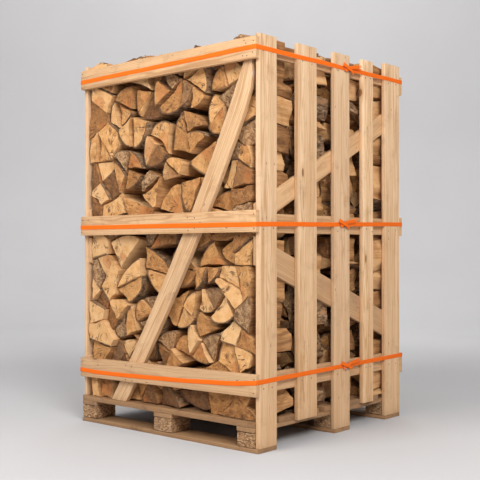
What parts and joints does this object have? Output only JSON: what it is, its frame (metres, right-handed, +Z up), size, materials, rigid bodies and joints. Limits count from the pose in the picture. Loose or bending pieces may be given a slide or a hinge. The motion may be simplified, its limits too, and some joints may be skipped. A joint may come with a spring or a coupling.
{
  "type": "firewood crate",
  "caption": "Tall slatted wooden crate on a fork pallet, packed with split firewood logs whose ends show at front and back, braced with diagonal boards and tied with orange woven straps.",
  "frame": {"origin": "middle of the crate's footprint (straps and buckles counted), at the floor under the pallet's bottom boards", "axes": "+Z up, -Y towards the front where the log ends show, +X towards the right side panel, whose slats cover the pallet"},
  "size_m": [1.2082, 1.2556, 1.9],
  "materials": {
    "pale_board": "sawn pale softwood, dry, with knots and nail heads",
    "pallet_board": "rough sawn softwood, greyed and dusty",
    "pallet_block": "pressed wood chip block",
    "split_log": "split hardwood, sawn ends, fibrous sides and thin grey-brown bark",
    "orange_strap": "woven polyester cord strap, slight sheen",
    "buckle_wire": "galvanised bent wire"
  },
  "bodies": {
    "root": {"back_brace": "pale_board", "back_rail_bottom": "pale_board", "back_rail_middle": "pale_board", "back_rail_top": "pale_board", "block_back_left": "pallet_block", "block_back_middle": "pallet_block", "block_back_right": "pallet_block", "block_front_left": "pallet_block", "block_front_middle": "pallet_block", "block_front_right": "pallet_block", "block_middle_left": "pallet_block", "block_middle_middle": "pallet_block", "block_middle_right": "pallet_block", "bottom_board_back": "pallet_board", "bottom_board_front": "pallet_board", "bottom_board_middle": "pallet_board", "buckle_bottom": "buckle_wire", "buckle_middle": "buckle_wire", "buckle_top": "buckle_wire", "deck_board_1": "pallet_board", "deck_board_2": "pallet_board", "deck_board_3": "pallet_board", "deck_board_4": "pallet_board", "deck_board_5": "pallet_board", "deck_board_6": "pallet_board", "deck_board_7": "pallet_board", "front_brace": "pale_board", "front_rail_bottom": "pale_board", "front_rail_middle": "pale_board", "front_rail_top": "pale_board", "left_brace_lower": "pale_board", "left_brace_upper": "pale_board", "left_rail_bottom": "pale_board", "left_rail_middle": "pale_board", "left_rail_top": "pale_board", "left_slat_1": "pale_board", "left_slat_2": "pale_board", "left_slat_3": "pale_board", "left_slat_4": "pale_board", "left_slat_5": "pale_board", "log_row_1": "split_log", "log_row_2": "split_log", "log_row_3": "split_log", "log_row_4": "split_log", "right_brace_lower": "pale_board", "right_brace_upper": "pale_board", "right_rail_bottom": "pale_board", "right_rail_middle": "pale_board", "right_rail_top": "pale_board", "right_slat_1": "pale_board", "right_slat_2": "pale_board", "right_slat_3": "pale_board", "right_slat_4": "pale_board", "right_slat_5": "pale_board", "strap_bottom": "orange_strap", "strap_middle": "orange_strap", "strap_top": "orange_strap", "stringer_left": "pallet_board", "stringer_middle": "pallet_board", "stringer_right": "pallet_board"}
  },
  "joints": []
}
